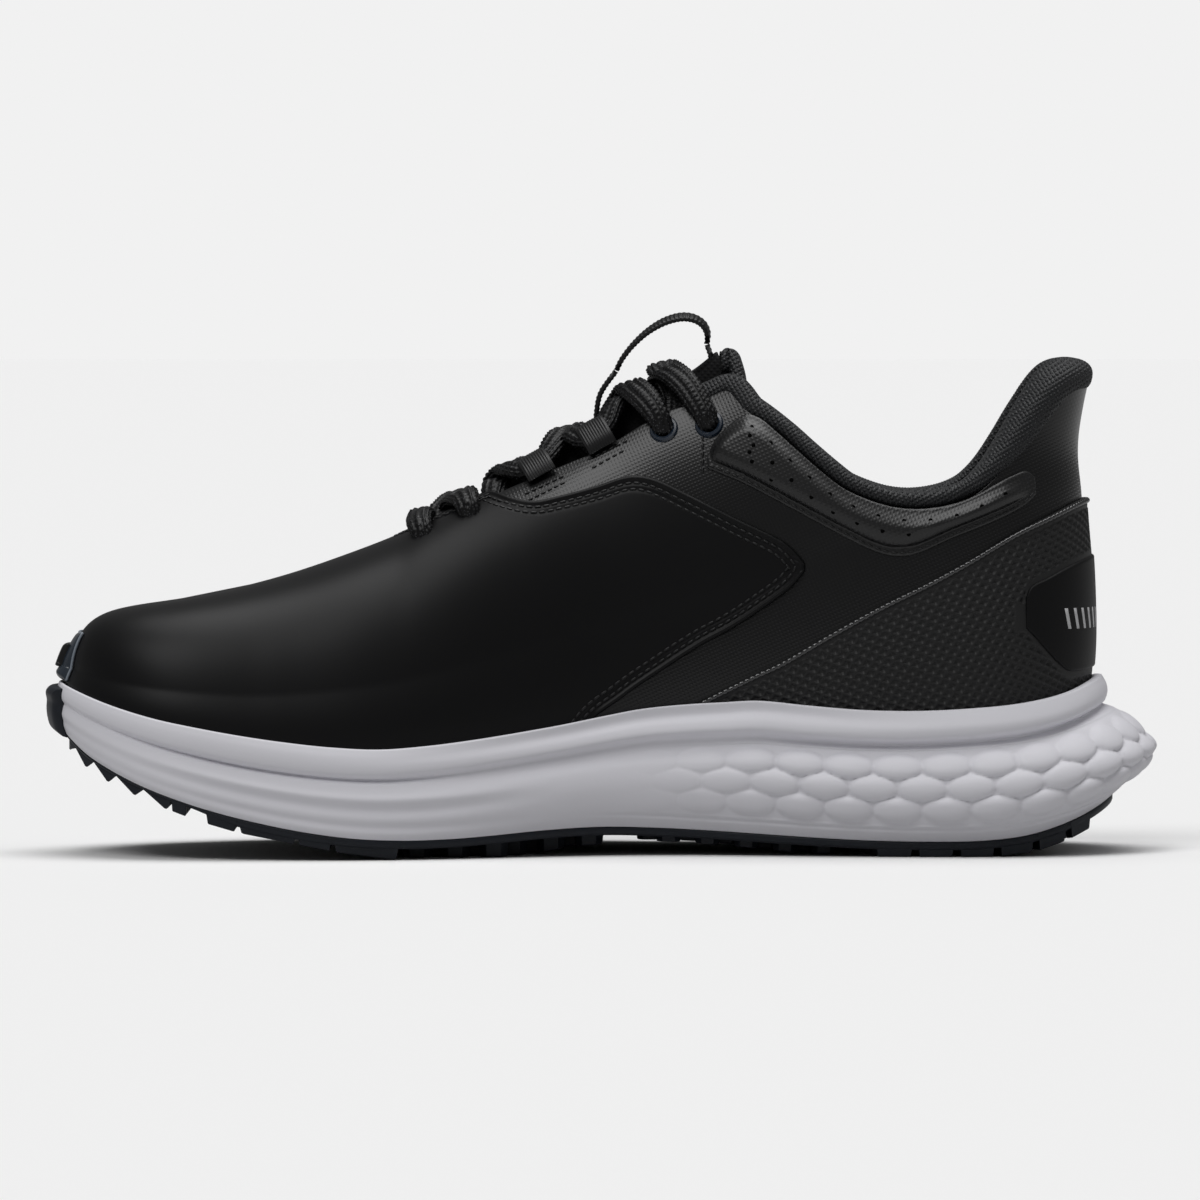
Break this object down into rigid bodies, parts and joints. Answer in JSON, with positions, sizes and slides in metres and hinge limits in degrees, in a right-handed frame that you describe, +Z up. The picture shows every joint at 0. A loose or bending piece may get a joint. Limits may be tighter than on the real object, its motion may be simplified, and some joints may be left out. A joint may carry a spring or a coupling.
{
  "type": "golf shoe",
  "caption": "Spikeless lace-up golf shoe for the right foot: rubber outsole, foam midsole, layered low-cut upper, padded collar and tongue, laced, with a pull loop.",
  "frame": {"origin": "centre of the shoe's bounding box in plan, at ground level under the outsole", "axes": "+X from the toe to the heel, +Y to the lateral side, +Z up"},
  "size_m": [0.281, 0.1064, 0.1364],
  "materials": {
    "outsole": "satin",
    "midsole": "matte",
    "board": "matte",
    "sockliner": "matte",
    "toe_guard": "gloss",
    "toe_ridge": "satin",
    "vamp": "satin",
    "quarter": "satin",
    "collar_panel": "satin",
    "heel_overlay": "satin",
    "heel_patch": "satin",
    "stiffener": "matte",
    "lining": "matte",
    "padding": "matte",
    "knit": "matte",
    "tongue": "matte",
    "eyelet": "gloss",
    "webbing": "matte",
    "lace": "matte",
    "aglet": "gloss"
  },
  "bodies": {
    "shoe": {"outsole": "outsole", "toe_bumper": "outsole", "midsole": "midsole", "strobel_board": "board", "sockliner": "sockliner", "toe_guard": "toe_guard", "toe_ridge": "toe_ridge", "vamp": "vamp", "quarter_medial": "quarter", "quarter_lateral": "quarter", "collar_panel_medial": "collar_panel", "collar_panel_lateral": "collar_panel", "heel_overlay": "heel_overlay", "heel_patch": "heel_patch", "toe_puff": "stiffener", "heel_counter": "stiffener", "lining": "lining", "collar_foam": "padding", "collar_roll": "knit", "tongue": "tongue", "tongue_binding": "knit", "eyelets_medial": "eyelet", "eyelets_lateral": "eyelet", "lace_keepers_medial": "webbing", "lace_keepers_lateral": "webbing", "lace": "lace", "lace_end_medial": "lace", "lace_end_lateral": "lace", "aglet_medial": "aglet", "aglet_lateral": "aglet", "loop_base": "webbing"},
    "loop": {"pull_loop": "webbing"}
  },
  "joints": [
    {"name": "pull_loop_flop", "type": "hinge", "parent": "shoe", "child": "loop", "pos_m": [0.0036, 0.001, 0.122], "axis": [0.96, 0, 0.28], "range_deg": [-35, 35], "stiffness_Nm_per_rad": 0.0004}
  ]
}
